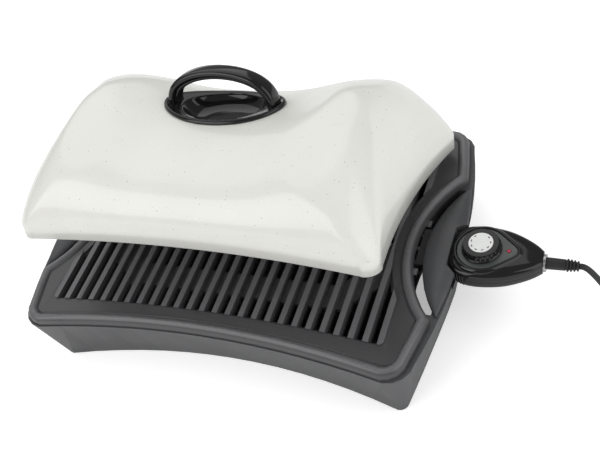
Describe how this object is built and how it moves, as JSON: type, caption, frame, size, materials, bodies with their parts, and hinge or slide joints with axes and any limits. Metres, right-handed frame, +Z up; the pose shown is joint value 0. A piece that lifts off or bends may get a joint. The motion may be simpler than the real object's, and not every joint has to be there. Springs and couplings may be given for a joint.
{
  "type": "electric grill",
  "caption": "Tabletop electric grill: ribbed cast plate with side hand recesses in a moulded base, saddle-shaped hinged lid with arched handle, plug-in thermostat controller on a cord",
  "frame": {"origin": "middle of the footprint on the table, without the cord: halfway between the base's left bulge and the controller's tail, z = 0 on the table", "axes": "+X along the grill's long side towards the controller, -Y towards the cook, +Z up"},
  "size_m": [0.8281, 0.337, 0.2689],
  "materials": {
    "moulded_plastic": "satin dark grey heat-resistant moulding",
    "rubber_foot": "matte",
    "steel_fixing": "zinc plated",
    "tray_sheet": "pressed sheet, dull",
    "coated_plate": "die cast, dark satin non-stick coating",
    "element_steel": "heat-dulled tube",
    "sheet_steel": "plated sheet",
    "bright_steel": "bright",
    "gloss_black": "glossy black moulding",
    "speckled_enamel": "off-white speckled enamel, semi-gloss",
    "panel_film": "dark grey-green film, satin",
    "lamp_red": "translucent red lens",
    "phenolic_block": "dark moulding",
    "dial_face": "silver-white printed disc",
    "cord_rubber": "satin black flexible cord and mouldings"
  },
  "bodies": {
    "base": {"base_housing": "moulded_plastic", "left_grip": "moulded_plastic", "right_grip": "moulded_plastic", "foot_front_left": "rubber_foot", "foot_back_left": "rubber_foot", "foot_front_right": "rubber_foot", "foot_back_right": "rubber_foot", "grip_screw_front_left": "steel_fixing", "grip_screw_back_left": "steel_fixing", "grip_screw_front_right": "steel_fixing", "grip_screw_back_right": "steel_fixing", "drip_tray": "tray_sheet", "grill_plate": "coated_plate", "heating_element": "element_steel", "terminal_guard": "sheet_steel", "guard_screw_front": "steel_fixing", "guard_screw_back": "steel_fixing", "terminal_pin_front": "bright_steel", "terminal_pin_back": "bright_steel", "sensor_sleeve": "bright_steel", "hinge_bracket_left": "moulded_plastic", "hinge_bracket_right": "moulded_plastic", "bracket_screw_left_1": "steel_fixing", "bracket_screw_left_2": "steel_fixing", "bracket_screw_right_1": "steel_fixing", "bracket_screw_right_2": "steel_fixing"},
    "lid_pins": {"hinge_pin_left": "bright_steel", "hinge_pin_right": "bright_steel"},
    "lid": {"hinge_arm_left": "gloss_black", "hinge_arm_right": "gloss_black", "arm_rivet_left_1": "steel_fixing", "arm_rivet_left_2": "steel_fixing", "arm_rivet_right_1": "steel_fixing", "arm_rivet_right_2": "steel_fixing", "lid_shell": "speckled_enamel", "handle_cup": "gloss_black", "handle_arch": "gloss_black", "handle_screw_left": "steel_fixing", "handle_screw_right": "steel_fixing"},
    "controller": {"controller_upper_shell": "gloss_black", "controller_lower_shell": "gloss_black", "face_panel": "panel_film", "indicator_lens": "lamp_red", "contact_block": "phenolic_block", "contact_sleeve_front": "bright_steel", "contact_sleeve_back": "bright_steel", "sensor_probe": "bright_steel", "tail_ring": "bright_steel", "shell_screw_front": "steel_fixing", "shell_screw_back": "steel_fixing", "strain_relief": "cord_rubber", "cord_run": "cord_rubber", "cord_coil": "cord_rubber", "plug_body": "cord_rubber", "plug_pin_1": "bright_steel", "plug_pin_2": "bright_steel"},
    "knob": {"knob_skirt": "gloss_black", "dial_disc": "dial_face", "knob_shaft": "bright_steel"}
  },
  "joints": [
    {"name": "lid_lift", "type": "slide", "parent": "base", "child": "lid_pins", "axis": [0, 0, 1], "range_m": [0, 0.15]},
    {"name": "lid_hinge", "type": "hinge", "parent": "lid_pins", "child": "lid", "pos_m": [-0.04275, 0.1575, 0.086], "axis": [-1, 0, 0], "range_deg": [-17.1, 72.9]},
    {"name": "controller_pull", "type": "slide", "parent": "base", "child": "controller", "axis": [1, 0, 0], "range_m": [0, 0.06]},
    {"name": "knob_turn", "type": "hinge", "parent": "controller", "child": "knob", "pos_m": [0.23225, 0, 0.09], "axis": [0, 0, -1], "range_deg": [0, 270]}
  ]
}
